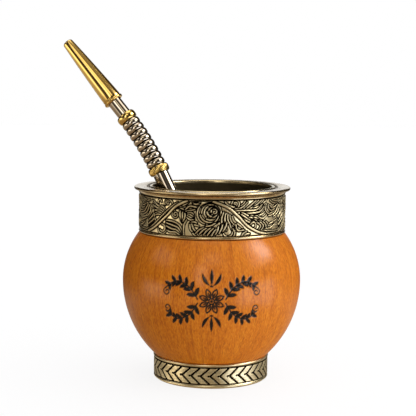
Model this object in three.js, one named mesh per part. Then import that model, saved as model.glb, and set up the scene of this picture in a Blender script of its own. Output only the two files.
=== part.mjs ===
// A turned wooden mate cup with a metal collar, liner and foot ring, and its metal drinking straw.
// Millimetres, +Z up. The origin is the middle of the underside, and the cup's front faces -Y.
import * as THREE from 'three';

// Space kept between pieces that touch.
const FIT = 0.3;

// Sides of the round pieces.
const CUP_SIDES = 40;
const STRAW_SIDES = 20;
const RING_SIDES = 24;

// Wooden ball: its side is two arcs that meet upright where it is widest.
const BALL_RADIUS = 45.34;
const BALL_HEIGHT = 50.3;
const UPPER_ARC = 40.3;
const LOWER_ARC = 52;
const BALL_RINGS = 16;

// Metal foot ring: a plain band between two beads.
const FOOT_HEIGHT = 12.4;
const FOOT_BORE = 27.9;
const FOOT_BAND_RADIUS = 29.3;
const FOOT_BEAD_RADIUS = 29.55;
const FOOT_BASE_RADIUS = 28.6;
const FOOT_LOWER_BEAD = 2.1;
const FOOT_UPPER_BEAD = 1.4;
const FOOT_EASE = 0.3;

// Square grooves that part each band from its beads.
const GROOVE_WIDTH = 0.45;
const GROOVE_DEPTH = 0.35;

// Metal collar: a bead, a tall band, a cove, and a flange that runs in to the liner.
const COLLAR_BOTTOM = 75.05;
const COLLAR_BORE = 35.4;
const COLLAR_BAND_RADIUS = 37.2;
const COLLAR_BEAD = 1.75;
const COLLAR_BEAD_RADIUS = 37.3;
const COVE_BOTTOM = 95;
const COVE_RADIUS = 1.6;
const RIM_RADIUS = 39.64;
const RIM_EDGE = 0.8;
const FLANGE_THICKNESS = 1.5;
const MOUTH_HEIGHT = 98.2;

// Metal liner: a drinking bowl with a rolled lip.
const MOUTH_RADIUS = 30.4;
const BOWL_RADIUS = 27.6;
const BOWL_FLOOR = 14;
const BOWL_FILLET = 13;
const LINER_WALL = 0.9;
const LIP_RADIUS = 0.75;
const LIP_TOP = 98.4;

// Straw: lengths run along its middle line, up from where that line passes the lip's height.
const LIP_CROSSING = new THREE.Vector3(-24.19, 8.5, 98.3);
const LEAN_DIRECTION = THREE.MathUtils.degToRad(164.2);
const LOWER_LEAN = THREE.MathUtils.degToRad(26.9);
const UPPER_LEAN = THREE.MathUtils.degToRad(40.6);
const BEND_START = 6.4;
const BEND_END = 42.7;
const STRAW_FOOT = -92.1;
const LOWER_RING_AT = 7.9;
const UPPER_RING_AT = 39.7;
const MOUTHPIECE_AT = 50.3;
const MOUTHPIECE_LENGTH = 40.4;
const LOWER_TUBE_RADIUS = 4.1;
const UPPER_TUBE_RADIUS = 3.65;
const TUBE_BORE = 2.9;
const SOCKET_DEPTH = 12;
const SIP_BORE = 1.5;
const RING_LENGTH = 4;
const RING_SHOULDER = 0.3;
const LOWER_RING_RADIUS = 5.5;
const UPPER_RING_RADIUS = 5.2;
const GRIP_RIDGES = 8;
const GRIP_RIDGE_RADIUS = 4.85;
const GRIP_GROOVE_RADIUS = 4.5;
const TIP_RADIUS = 2.75;
const TIP_ROUND = 1.2;
const CONE_RADIUS = 4.95;
const CONE_SWELL = 0.15;
const CONE_BEAD_RADIUS = 5.35;
const CONE_BEAD = 0.8;

const point = (radius, height) => new THREE.Vector2(radius, height);

// Evenly spaced values from one number to another, ends included.
function spaced(from, to, steps) {
  return Array.from({ length: steps + 1 }, (_, i) => from + ((to - from) * i) / steps);
}

// Points of a round or oval stretch of an outline, between two angles in degrees.
function arc(radius, height, across, from, to, steps, along = across) {
  return spaced(from, to, steps).map(THREE.MathUtils.degToRad)
    .map((angle) => point(radius + across * Math.cos(angle), height + along * Math.sin(angle)));
}

// A piece turned about +Z. Its outline rises on the outside and falls on the inside.
function turned(outline, sides) {
  return new THREE.LatheGeometry(outline, sides).rotateX(Math.PI / 2);
}

// An outline that closes on itself, for a ring.
const closed = (outline) => [...outline, outline[0].clone()];

function metal(color, roughness) {
  return new THREE.MeshStandardMaterial({ color, roughness, metalness: 1 });
}

const wood = new THREE.MeshStandardMaterial({ color: 0xc26e22, roughness: 0.35, metalness: 0 });
const antiqueBrass = metal(0x8f7c52, 0.38);
const linerMetal = metal(0x6e675a, 0.35);
const steel = metal(0xb9b2a6, 0.16);
const goldPlate = metal(0xd3a544, 0.2);

function named(name, geometry, material) {
  const mesh = new THREE.Mesh(geometry, material.clone());
  mesh.name = name;
  return mesh;
}

// Radius of the wooden ball at a height.
function ballRadius(height) {
  const size = height > BALL_HEIGHT ? UPPER_ARC : LOWER_ARC;
  return BALL_RADIUS - size + Math.sqrt(size ** 2 - (height - BALL_HEIGHT) ** 2);
}

// The bowl's side from the middle of its floor up to the mouth, moved out by an offset.
function bowlSide(offset, top) {
  const bend = arc(BOWL_RADIUS - BOWL_FILLET, BOWL_FLOOR + BOWL_FILLET, BOWL_FILLET + offset, -90, 0, 6);
  return [point(0, BOWL_FLOOR - offset), ...bend, point(MOUTH_RADIUS + offset, top)];
}

function woodCup() {
  const core = FOOT_BORE - FIT;
  const low = FOOT_HEIGHT + FIT;
  const high = COLLAR_BOTTOM - FIT;
  const neck = COLLAR_BORE - FIT;
  const neckTop = MOUTH_HEIGHT - FLANGE_THICKNESS - FIT;
  const outside = spaced(low, high, BALL_RINGS).map((height) => point(ballRadius(height), height));
  const cavity = bowlSide(LINER_WALL + FIT, neckTop).reverse();
  return turned([
    point(0, 0), point(core, 0), point(core, low),
    ...outside,
    point(neck, high), point(neck, neckTop),
    ...cavity,
  ], CUP_SIDES);
}

function liner() {
  const lipRadius = MOUTH_RADIUS + LIP_RADIUS;
  const lipHeight = LIP_TOP - LIP_RADIUS;
  const lip = arc(lipRadius, lipHeight, LIP_RADIUS, -75, 180, 6);
  const outside = bowlSide(LINER_WALL, lipHeight - LIP_RADIUS).slice(0, -1);
  const inside = bowlSide(0, lipHeight).slice(0, -1).reverse();
  return turned([...outside, ...lip, ...inside], CUP_SIDES);
}

// A square groove in an upright wall, from a height up.
function groove(radius, height) {
  const depth = radius - GROOVE_DEPTH;
  const top = height + GROOVE_WIDTH;
  return [point(radius, height), point(depth, height), point(depth, top), point(radius, top)];
}

function collar() {
  const beadTop = COLLAR_BOTTOM + COLLAR_BEAD;
  const beadHalf = COLLAR_BEAD / 2;
  const bead = arc(COLLAR_BEAD_RADIUS - beadHalf, COLLAR_BOTTOM + beadHalf, beadHalf, -90, 60, 4);
  const cove = arc(COLLAR_BAND_RADIUS + COVE_RADIUS, COVE_BOTTOM, COVE_RADIUS, 180, 90, 3);
  const edge = arc(RIM_RADIUS - RIM_EDGE, COVE_BOTTOM + COVE_RADIUS + RIM_EDGE, RIM_EDGE, -90, 90, 4);
  const hole = MOUTH_RADIUS + 2 * LIP_RADIUS + FIT;
  const flangeUnder = MOUTH_HEIGHT - FLANGE_THICKNESS;
  return turned(closed([
    ...bead,
    ...groove(COLLAR_BAND_RADIUS, beadTop),
    ...groove(COLLAR_BAND_RADIUS, COVE_BOTTOM - GROOVE_WIDTH),
    ...cove.slice(1),
    ...edge,
    point(hole, MOUTH_HEIGHT), point(hole, flangeUnder),
    point(COLLAR_BORE, flangeUnder), point(COLLAR_BORE, COLLAR_BOTTOM),
  ]), CUP_SIDES);
}

function footRing() {
  const beadBottom = FOOT_HEIGHT - FOOT_UPPER_BEAD;
  const beadHalf = FOOT_UPPER_BEAD / 2;
  return turned(closed([
    point(FOOT_BASE_RADIUS - FOOT_EASE, 0), point(FOOT_BASE_RADIUS, FOOT_EASE),
    point(FOOT_BAND_RADIUS, FOOT_LOWER_BEAD / 2),
    ...groove(FOOT_BAND_RADIUS, FOOT_LOWER_BEAD),
    ...groove(FOOT_BAND_RADIUS, beadBottom - GROOVE_WIDTH),
    ...arc(FOOT_BEAD_RADIUS - beadHalf, beadBottom + beadHalf, beadHalf, -60, 90, 4),
    point(FOOT_BORE, FOOT_HEIGHT), point(FOOT_BORE, 0),
  ]), CUP_SIDES);
}

// Lean of the straw's middle line from upright, at a length along it.
function leanAt(length) {
  const bend = THREE.MathUtils.clamp((length - BEND_START) / (BEND_END - BEND_START), 0, 1);
  return THREE.MathUtils.lerp(LOWER_LEAN, UPPER_LEAN, bend);
}

// Point of the straw's middle line in its own X-Z plane.
function middleAt(length) {
  const straight = Math.min(length, BEND_START);
  const bent = THREE.MathUtils.clamp(length, BEND_START, BEND_END) - BEND_START;
  const rest = Math.max(length, BEND_END) - BEND_END;
  const curve = (BEND_END - BEND_START) / (UPPER_LEAN - LOWER_LEAN);
  const end = leanAt(BEND_START + bent);
  return new THREE.Vector3(
    straight * Math.sin(LOWER_LEAN) + curve * (Math.cos(LOWER_LEAN) - Math.cos(end))
      + rest * Math.sin(UPPER_LEAN),
    0,
    straight * Math.cos(LOWER_LEAN) + curve * (Math.sin(end) - Math.sin(LOWER_LEAN))
      + rest * Math.cos(UPPER_LEAN),
  );
}

// A turned shape whose axis follows the straw's middle line.
function bent(geometry) {
  const position = geometry.attributes.position;
  const vertex = new THREE.Vector3();
  const upright = new THREE.Vector3(0, 1, 0);
  for (let i = 0; i < position.count; i += 1) {
    vertex.fromBufferAttribute(position, i);
    const length = vertex.z;
    vertex.setZ(0).applyAxisAngle(upright, leanAt(length)).add(middleAt(length));
    position.setXYZ(i, vertex.x, vertex.y, vertex.z);
  }
  return geometry;
}

// Points of a straight side at evenly spaced lengths, so that the side can follow the bend.
function side(radius, from, to, steps) {
  return spaced(from, to, steps).map((length) => point(radius, length));
}

// The hollow tube steps down to its upper size inside the lower ring.
function strawTube() {
  const top = MOUTHPIECE_AT + SOCKET_DEPTH - FIT;
  const step = LOWER_RING_AT + FIT;
  return bent(turned(closed([
    point(LOWER_TUBE_RADIUS - FIT, STRAW_FOOT), point(LOWER_TUBE_RADIUS, STRAW_FOOT + FIT),
    ...side(LOWER_TUBE_RADIUS, BEND_START, LOWER_RING_AT, 1),
    ...side(UPPER_TUBE_RADIUS, step, BEND_END, 7),
    point(UPPER_TUBE_RADIUS, top), point(TUBE_BORE, top),
    ...side(TUBE_BORE, BEND_END, BEND_START, 8),
    point(TUBE_BORE, STRAW_FOOT),
  ]), STRAW_SIDES));
}

// The sleeve over the bend, with rounded ridges.
function strawGrip() {
  const from = LOWER_RING_AT + RING_LENGTH / 2 + FIT;
  const to = UPPER_RING_AT - RING_LENGTH / 2 - FIT;
  const pitch = (to - from) / GRIP_RIDGES;
  const ridges = spaced(from, to - pitch, GRIP_RIDGES - 1).flatMap((start) => [
    point(GRIP_GROOVE_RADIUS, start),
    point(GRIP_RIDGE_RADIUS, start + 0.22 * pitch),
    point(GRIP_RIDGE_RADIUS, start + 0.62 * pitch),
    point(GRIP_GROOVE_RADIUS, start + 0.84 * pitch),
  ]);
  const bore = side(UPPER_TUBE_RADIUS + FIT, to, from, 5);
  return bent(turned(closed([...ridges, point(GRIP_GROOVE_RADIUS, to), ...bore]), STRAW_SIDES));
}

// A rounded ring for the tube, about its own middle.
function strawRing(radius, tubeRadius) {
  const half = RING_LENGTH / 2;
  const bore = tubeRadius + FIT;
  const shoulder = bore + RING_SHOULDER;
  return turned(closed([
    ...arc(shoulder, 0, radius - shoulder, -90, 90, 8, half),
    point(bore, half), point(bore, -half),
  ]), RING_SIDES);
}

// The mouthpiece, from its base at length 0 to its tip.
function strawMouthpiece() {
  const socket = UPPER_TUBE_RADIUS + FIT;
  const middle = (CONE_RADIUS + TIP_RADIUS) / 2 + CONE_SWELL;
  return turned(closed([
    ...arc(CONE_BEAD_RADIUS - CONE_BEAD, CONE_BEAD, CONE_BEAD, -90, 60, 4),
    point(CONE_RADIUS, 3 * CONE_BEAD),
    point(middle, MOUTHPIECE_LENGTH / 2),
    ...arc(TIP_RADIUS - TIP_ROUND, MOUTHPIECE_LENGTH - TIP_ROUND, TIP_ROUND, 4, 90, 4),
    point(SIP_BORE, MOUTHPIECE_LENGTH),
    point(SIP_BORE, SOCKET_DEPTH), point(socket, SOCKET_DEPTH), point(socket, 0),
  ]), RING_SIDES);
}

// A group that stands on the straw's middle line, with its +Z along it.
function stationOnStraw(length, mesh) {
  const station = new THREE.Group();
  station.position.copy(middleAt(length));
  station.rotation.y = leanAt(length);
  station.add(mesh);
  return station;
}

const cup = new THREE.Group();
cup.add(
  named('wood_cup', woodCup(), wood),
  named('liner', liner(), linerMetal),
  named('collar', collar(), antiqueBrass),
  named('foot_ring', footRing(), antiqueBrass),
);

const straw = new THREE.Group();
straw.position.copy(LIP_CROSSING);
straw.rotation.z = LEAN_DIRECTION;
const lowerRing = strawRing(LOWER_RING_RADIUS, LOWER_TUBE_RADIUS);
const upperRing = strawRing(UPPER_RING_RADIUS, UPPER_TUBE_RADIUS);
straw.add(
  named('straw_tube', strawTube(), steel),
  named('straw_grip', strawGrip(), steel),
  stationOnStraw(LOWER_RING_AT, named('straw_ring_lower', lowerRing, goldPlate)),
  stationOnStraw(UPPER_RING_AT, named('straw_ring_upper', upperRing, goldPlate)),
  stationOnStraw(MOUTHPIECE_AT, named('straw_mouthpiece', strawMouthpiece(), goldPlate)),
);

const mate = new THREE.Group();
mate.add(cup, straw);

export default mate;
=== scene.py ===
"""A turned wooden mate cup with a chased brass collar, a liner, a foot ring and a metal straw.

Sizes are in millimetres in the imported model's frame: +Z up, the origin in the middle of the
underside, and the cup's front towards -Y. Places round the cup are angles from the front,
counted towards +X.
"""

import logging
import math
from collections.abc import Sequence
from dataclasses import dataclass, field
from enum import Enum
from itertools import pairwise

import bpy
import numpy as np
from bpy.types import Material, Node, NodeSocket, NodeTree, Object
from mathutils import Matrix, Vector


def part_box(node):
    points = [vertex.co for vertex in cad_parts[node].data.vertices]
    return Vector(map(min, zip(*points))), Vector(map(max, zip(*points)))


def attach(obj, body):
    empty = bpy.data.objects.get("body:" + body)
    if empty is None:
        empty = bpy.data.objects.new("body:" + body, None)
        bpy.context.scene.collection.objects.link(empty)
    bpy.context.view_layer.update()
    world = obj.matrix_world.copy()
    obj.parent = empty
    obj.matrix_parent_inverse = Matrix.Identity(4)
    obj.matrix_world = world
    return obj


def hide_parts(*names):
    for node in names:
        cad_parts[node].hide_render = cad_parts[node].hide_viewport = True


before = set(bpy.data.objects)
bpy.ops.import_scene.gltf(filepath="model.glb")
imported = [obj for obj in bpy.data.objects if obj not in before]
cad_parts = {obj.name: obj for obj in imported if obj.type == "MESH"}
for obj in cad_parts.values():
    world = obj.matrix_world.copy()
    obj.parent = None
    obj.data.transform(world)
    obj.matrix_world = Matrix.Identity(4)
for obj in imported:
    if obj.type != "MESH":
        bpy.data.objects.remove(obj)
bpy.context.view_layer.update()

MM = 0.001
STEP = 0.14  # The distance between points along a drawn line, in millimetres.
HAIR = 0.02  # The width of the finest cut line, before its soft edge is added.
WELD = 0.004  # Points closer than this, in millimetres, become one.
CREASE = 40.0  # An edge sharper than this, in degrees, stays sharp.
WHITE = "#ffffff"
LOG = logging.getLogger("mate")

Point = tuple[float, float]
Outline = list[Point]


def cad_size(node: str) -> tuple[float, float, float, float]:
    """Read the sizes of a turned CAD node.

    Args:
        node: The node's name.

    Returns:
        Its radius, its lowest and its highest point, and its height, in millimetres.
    """
    low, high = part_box(node)
    return high.x / MM, low.z / MM, high.z / MM, (high.z - low.z) / MM


def spaced(start: float, end: float, steps: int) -> list[float]:
    """Evenly spaced values from start to end, ends included."""
    return [start + (end - start) * i / steps for i in range(steps + 1)]


def arc(
    radius: float, height: float, across: float, start: float, end: float, steps: int, along: float = 0.0
) -> Outline:
    """A round or oval stretch of an outline.

    Args:
        radius: The middle's distance from the axis.
        height: The middle's height.
        across: The size along the radius.
        start: The first angle in degrees, 0 pointing away from the axis.
        end: The last angle in degrees.
        steps: The number of edges.
        along: The size along the height, or 0 where it is the same.

    Returns:
        The stretch's points.
    """
    angles = [math.radians(angle) for angle in spaced(start, end, steps)]
    tall = along or across
    return [(radius + across * math.cos(a), height + tall * math.sin(a)) for a in angles]


def smoothstep(low: float, high: float, values: np.ndarray) -> np.ndarray:
    """A soft step from 0 at low to 1 at high."""
    t = np.clip((values - low) / (high - low), 0.0, 1.0)
    return t * t * (3.0 - 2.0 * t)


def bowed(base: Point | np.ndarray, tip: Point | np.ndarray, bow: float) -> np.ndarray:
    """Points along a line from base to tip that bends sideways.

    Args:
        base: The first point.
        tip: The last point.
        bow: How far the middle lies to the left of the straight line.

    Returns:
        The points, one a row.
    """
    a, b = np.array(base), np.array(tip)
    along = b - a
    length = float(np.hypot(*along))
    side = np.array([-along[1], along[0]]) / length
    t = np.linspace(0.0, 1.0, max(3, round(length / STEP)))[:, None]
    return a + along * t + side * (4.0 * bow * t * (1.0 - t))


def smooth_line(points: Sequence[Point], step: float = STEP) -> np.ndarray:
    """Points along a smooth line through the given points.

    Args:
        points: The points that the line passes.
        step: The distance between the points that it returns.

    Returns:
        The points, one a row.
    """
    knots = np.array([points[0], *points, points[-1]], float)
    runs = []
    for p0, p1, p2, p3 in zip(knots, knots[1:], knots[2:], knots[3:]):
        count = max(2, round(float(np.hypot(*(p2 - p1))) / step))
        t = np.linspace(0.0, 1.0, count, endpoint=False)[:, None]
        runs.append(
            0.5 * (2 * p1 + (p2 - p0) * t + (2 * p0 - 5 * p1 + 4 * p2 - p3) * t**2
                   + (3 * p1 - p0 - 3 * p2 + p3) * t**3)
        )
    return np.vstack([*runs, knots[-1:]])


def turns(centre: Point, outer: float, inner: float, start: float, sweep: float) -> np.ndarray:
    """Points along an arc or a spiral.

    Args:
        centre: The middle.
        outer: The radius at the start.
        inner: The radius at the end.
        start: The first angle in degrees.
        sweep: The angle in degrees that it runs through, positive anticlockwise.

    Returns:
        The points, one a row.
    """
    count = max(6, round(abs(math.radians(sweep)) * (outer + inner) / 2 / STEP))
    angle = np.radians(np.linspace(start, start + sweep, count))
    radius = np.linspace(outer, inner, count)
    return np.array(centre) + np.stack([radius * np.cos(angle), radius * np.sin(angle)], axis=1)


@dataclass
class Relief:
    """A drawing in relief on an unrolled strip.

    u runs round the piece and v up it. Raised lines carry a dark ditch on both sides, and what is
    drawn later lies on top of what was drawn before it.

    Attributes:
        left: The lowest u.
        bottom: The lowest v.
        length: The size along u.
        height: The size along v.
        wraps: Whether the strip repeats along u.
        pitch: The distance between the samples.
        rise: How high a raised line stands.
        ditch: How wide the ditch beside it is.
        depth: How deep the ditch and the cut lines are.
        columns: The number of samples along u.
        rows: The number of samples along v.
        level: The height of each sample.
        dark: The darkness of each sample, up to 1.
    """

    left: float
    bottom: float
    length: float
    height: float
    wraps: bool = True
    pitch: float = 0.125
    rise: float = 0.22
    ditch: float = 0.60
    depth: float = 0.30
    columns: int = field(init=False)
    rows: int = field(init=False)
    level: np.ndarray = field(init=False)
    dark: np.ndarray = field(init=False)

    def __post_init__(self) -> None:
        """Lay out the empty strip."""
        self.columns = round(self.length / self.pitch)
        self.rows = round(self.height / self.pitch) + 1
        self.level = np.zeros((self.rows, self.columns))
        self.dark = np.zeros((self.rows, self.columns))

    def _distance(self, line: np.ndarray, half: np.ndarray, reach: float) -> np.ndarray:
        """How far each sample lies outside a line of varying width.

        Args:
            line: The points along the line.
            half: Half its width at each of them.
            reach: How far out the distance is wanted.

        Returns:
            The distances, negative inside the line and infinite far from it.
        """
        found = np.full((self.rows, self.columns), np.inf)
        group = 20  # The line is taken in short runs, each against the samples near it alone.
        for first in range(0, len(line), group):
            part, wide = line[first:first + group + 1], half[first:first + group + 1]
            margin = float(wide.max()) + reach
            low, high = part.min(axis=0) - margin, part.max(axis=0) + margin
            columns = np.arange(
                math.floor((low[0] - self.left) / self.pitch), math.ceil((high[0] - self.left) / self.pitch)
            )
            rows = np.arange(
                max(0, math.floor((low[1] - self.bottom) / self.pitch)),
                min(self.rows, math.ceil((high[1] - self.bottom) / self.pitch)),
            )
            if not self.wraps:
                columns = columns[(columns >= 0) & (columns < self.columns)]
            if not (len(rows) and len(columns)):
                continue
            u = self.left + columns * self.pitch
            v = self.bottom + rows * self.pitch
            away = np.hypot(u[None, :, None] - part[:, 0], v[:, None, None] - part[:, 1]) - wide
            nearest = away.min(axis=2)
            cells = np.ix_(rows, columns % self.columns)
            found[cells] = np.minimum(found[cells], nearest)
        return found

    def raise_line(self, line: np.ndarray, width: float, taper: float = 0.0) -> None:
        """Draw a raised line or blade with its ditch.

        Args:
            line: The points along it.
            width: Its full width where it is widest.
            taper: 0 for blunt ends, up to 1 for a blade that is pointed at both ends.
        """
        t = np.linspace(0.0, 1.0, len(line))
        # The powers make a blade fullest a little before its middle.
        half = width / 2 * (1.0 - taper + taper * np.sin(np.pi * t ** 0.8) ** 0.75)
        distance = self._distance(line, half, 1.6 * self.ditch)
        inside = np.clip(-distance / (width / 2), 0.0, 1.0)
        crest = np.sqrt(1.0 - (1.0 - inside) ** 2)
        trough = -self.depth * np.sin(np.pi * np.clip(distance / self.ditch, 0.0, 1.0))
        level = np.where(distance < 0.0, self.rise * crest, trough)
        # The crest darkens just inside its edge, and the ditch fades into what lies beside it.
        dark = smoothstep(-0.10, 0.02, distance)
        cover = 1.0 - smoothstep(self.ditch - 0.06, self.ditch + 0.10, distance)
        self.level += (level - self.level) * cover
        self.dark += (dark - self.dark) * cover

    def cut_line(self, line: np.ndarray, width: float, taper: float = 0.0, shade: float = 1.0) -> None:
        """Engrave a dark line.

        Args:
            line: The points along it.
            width: Its full width where it is widest.
            taper: 0 for blunt ends, up to 1 for pointed ends.
            shade: How deep and dark it is, up to 1.
        """
        t = np.linspace(0.0, 1.0, len(line))
        half = width / 2 * (1.0 - taper + taper * np.sin(np.pi * t))
        cover = shade * (1.0 - smoothstep(-0.10, 0.12, self._distance(line, half, 0.4)))
        self.level -= self.depth * cover
        self.dark = np.maximum(self.dark, cover)

    def at(self, u: np.ndarray, v: np.ndarray) -> tuple[np.ndarray, np.ndarray]:
        """Read the strip between its samples.

        Args:
            u: Places round the piece.
            v: Places up the piece.

        Returns:
            The level in millimetres and the darkness, both 0 outside the strip.
        """
        x = (u - self.left) / self.pitch
        # Just short of the last row, so that there is always a row above.
        y = np.clip((v - self.bottom) / self.pitch, 0.0, self.rows - 1.001)
        known = (v >= self.bottom) & (v <= self.bottom + self.height)
        if not self.wraps:
            known &= (x >= 0) & (x < self.columns - 1)
        left, low = np.floor(x).astype(int), np.floor(y).astype(int)
        fx, fy = x - left, y - low
        a, b = left % self.columns, (left + 1) % self.columns

        def blend(grid: np.ndarray) -> np.ndarray:
            """The weighted mean of the four samples about each place."""
            under = grid[low, a] * (1 - fx) + grid[low, b] * fx
            over = grid[low + 1, a] * (1 - fx) + grid[low + 1, b] * fx
            return np.where(known, under * (1 - fy) + over * fy, 0.0)

        return blend(self.level), blend(self.dark)


@dataclass
class Chaser:
    """Draws a chaser's motifs on a strip of relief.

    Attributes:
        relief: The strip.
        foot: The height at which the drawing's own heights start.
        line_width: The usual width of a raised line. The real ones are finer and wouldn't show.
        spiral_width: The width of a spiral's line.
        leaf_taper: How much a leaf's ribs narrow towards their ends.
        curl_taper: How much a curl narrows towards its ends.
        blunt: How much stems and spirals narrow towards their ends.
    """

    relief: Relief
    foot: float
    line_width: float = 0.62
    spiral_width: float = 0.42
    leaf_taper: float = 0.45
    curl_taper: float = 0.2
    blunt: float = 0.1

    def place(self, points: Sequence[Point]) -> list[Point]:
        """The drawing's points as places on the strip."""
        return [(u, self.foot + v) for u, v in points]

    def line(self, points: Sequence[Point], width: float) -> None:
        """Raise one line through the given points."""
        self.relief.raise_line(smooth_line(self.place(points)), width, self.blunt)

    def leaf(self, first: Sequence[Point], last: Sequence[Point], ribs: int) -> None:
        """A leaf of raised ribs that turn evenly from one edge to the other.

        Args:
            first: The points that its first rib passes.
            last: As many points for its last rib.
            ribs: The number of ribs.
        """
        start, end = np.array(self.place(first)), np.array(self.place(last))
        for share in np.linspace(0.0, 1.0, ribs):
            rib = start + (end - start) * share
            self.relief.raise_line(smooth_line(rib), self.line_width, self.leaf_taper)

    def curl(self, centre: Point, radius: float, start: float, sweep: float, end: float = 0.0) -> None:
        """A raised arc, such as a curled leaf or a petal.

        Args:
            centre: Its middle.
            radius: Its radius at its start.
            start: The angle of its start in degrees.
            sweep: The angle that it runs through, positive anticlockwise.
            end: Its radius at its end, or 0 where it is the same.
        """
        middle = self.place([centre])[0]
        line = turns(middle, radius, end or radius, start, sweep)
        self.relief.raise_line(line, self.line_width, self.curl_taper)

    def stem(self, points: Sequence[Point], width: float, notch: float) -> None:
        """A thick stem with fine notches across it.

        Args:
            points: The points that it passes.
            width: Its width.
            notch: The distance between the notches.
        """
        line = smooth_line(self.place(points))
        self.relief.raise_line(line, width)
        along = np.gradient(line, axis=0)
        side = np.stack([-along[:, 1], along[:, 0]], axis=1) / np.hypot(*along.T)[:, None]
        step = max(1, round(notch / STEP))
        for place, across in zip(line[::step], side[::step]):
            half = across * width * 0.3
            self.relief.cut_line(bowed(place - half, place + half, 0.0), HAIR)

    def spiral(self, centre: Point, size: float, start: float, sweep: float) -> None:
        """A raised spiral that winds in to its middle.

        Args:
            centre: Its middle.
            size: Its outer radius.
            start: The angle of its outer end.
            sweep: The angle that it winds through, positive anticlockwise.
        """
        middle = self.place([centre])[0]
        line = turns(middle, size, 0.12 * size, start, sweep)
        self.relief.raise_line(line, self.spiral_width, self.blunt)


class Bench:
    """Models pieces with Blender's own operators, as by hand."""

    @staticmethod
    def outline(name: str, points: Outline) -> Object:
        """Draw an outline as a chain of edges at the front, from a plane merged to one point.

        Args:
            name: The piece's name.
            points: The outline's points, as radius and height.

        Returns:
            The piece, in edit mode.
        """
        places = [Vector((0.0, -r, z)) * MM for r, z in points]
        bpy.ops.object.select_all(action="DESELECT")
        bpy.ops.mesh.primitive_plane_add(size=MM, location=(0.0, 0.0, 0.0))
        piece = bpy.context.object
        piece.name = piece.data.name = name
        bpy.ops.object.mode_set(mode="EDIT")
        bpy.ops.mesh.select_mode(type="VERT")
        bpy.ops.mesh.select_all(action="SELECT")
        bpy.ops.mesh.merge(type="CENTER")
        bpy.ops.transform.translate(value=places[0])
        for before, after in pairwise(places):
            bpy.ops.mesh.extrude_region_move(TRANSFORM_OT_translate={"value": after - before})
        return piece

    @staticmethod
    def turned(name: str, points: Outline, steps: int, crease: float = CREASE) -> Object:
        """A piece turned about +Z from its outline.

        Args:
            name: The piece's name.
            points: The outline, from axis to axis or closed on itself.
            steps: The number of steps round it.
            crease: The angle in degrees past which an edge stays sharp.

        Returns:
            The piece, in object mode.
        """
        piece = Bench.outline(name, points)
        bpy.ops.object.mode_set(mode="OBJECT")
        bpy.ops.object.modifier_add(type="SCREW")
        lathe = piece.modifiers[-1]
        lathe.axis, lathe.angle = "Z", math.tau
        lathe.steps = lathe.render_steps = steps
        bpy.ops.object.modifier_apply(modifier=lathe.name)
        bpy.ops.object.mode_set(mode="EDIT")
        bpy.ops.mesh.select_all(action="SELECT")
        bpy.ops.mesh.remove_doubles(threshold=WELD * MM)
        bpy.ops.mesh.normals_make_consistent(inside=False)
        bpy.ops.object.mode_set(mode="OBJECT")
        Bench.smooth(piece, crease)
        return piece

    @staticmethod
    def crowd(piece: Object, front: float, share: float) -> None:
        """Slide a turned piece's points round it, so that its front has more of them.

        Args:
            piece: The piece.
            front: The angle each side of the front that gets more points, in degrees.
            share: The share of all points that it gets.
        """
        points = Bench.points(piece)
        reach = Bench.reach(points)
        angle = np.degrees(np.arctan2(points[:, 0], -points[:, 1]))
        even = [-180.0, -180.0 * share, 180.0 * share, 180.0]
        crowded = [-180.0, -front, front, 180.0]
        angle = np.radians(np.interp(angle, even, crowded))
        points[:, 0], points[:, 1] = reach * np.sin(angle), -reach * np.cos(angle)
        Bench.move_points(piece, points)

    @staticmethod
    def smooth(piece: Object, crease: float = CREASE) -> None:
        """Shade a piece smooth, apart from edges sharper than the crease angle.

        Args:
            piece: The piece.
            crease: The angle in degrees past which an edge stays sharp.
        """
        bpy.ops.object.select_all(action="DESELECT")
        piece.select_set(True)
        bpy.context.view_layer.objects.active = piece
        bpy.ops.object.shade_smooth_by_angle(angle=math.radians(crease))

    @staticmethod
    def points(piece: Object) -> np.ndarray:
        """A piece's points in millimetres, one a row.

        Args:
            piece: The piece.

        Returns:
            The places of its points.
        """
        flat = np.zeros(len(piece.data.vertices) * 3)
        piece.data.vertices.foreach_get("co", flat)
        return flat.reshape(-1, 3) / MM

    @staticmethod
    def reach(points: np.ndarray) -> np.ndarray:
        """How far each point lies from the upright axis."""
        return np.hypot(points[:, 0], points[:, 1])

    @staticmethod
    def move_points(piece: Object, points: np.ndarray) -> None:
        """Give a piece's points new places in millimetres."""
        piece.data.vertices.foreach_set("co", (points * MM).ravel())
        piece.data.update()

    @staticmethod
    def store(piece: Object, name: str, values: np.ndarray) -> None:
        """Keep one number a point on the mesh, for the material to read."""
        layer = piece.data.attributes.new(name=name, type="FLOAT", domain="POINT")
        layer.data.foreach_set("value", np.clip(values, 0.0, 1.0).astype(np.float32))

    @staticmethod
    def emboss(piece: Object, relief: Relief, radius: float, outside: float) -> None:
        """Press a strip of relief into the outside of a turned piece.

        Args:
            piece: The piece.
            relief: The strip, whose v is the piece's height.
            radius: The radius at which the strip's u is measured.
            outside: The radius past which a point is on the outside.
        """
        points = Bench.points(piece)
        reach = Bench.reach(points)
        angle = np.arctan2(points[:, 0], -points[:, 1])
        level, dark = relief.at(angle * radius, points[:, 2])
        shown = reach > outside
        scale = 1.0 + np.where(shown, level / np.maximum(reach, 1.0), 0.0)
        points[:, :2] *= scale[:, None]
        Bench.move_points(piece, points)
        Bench.store(piece, "dark", np.where(shown, dark, 0.0))


def linear(colour: str) -> tuple[float, float, float, float]:
    """Turn an sRGB hex colour into the linear values that the shader takes.

    Args:
        colour: The colour, such as "#c26e22".

    Returns:
        Red, green, blue and alpha.
    """
    parts = [int(colour[i:i + 2], 16) / 255.0 for i in (1, 3, 5)]
    light = [c / 12.92 if c <= 0.04045 else ((c + 0.055) / 1.055) ** 2.4 for c in parts]
    return light[0], light[1], light[2], 1.0


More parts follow.
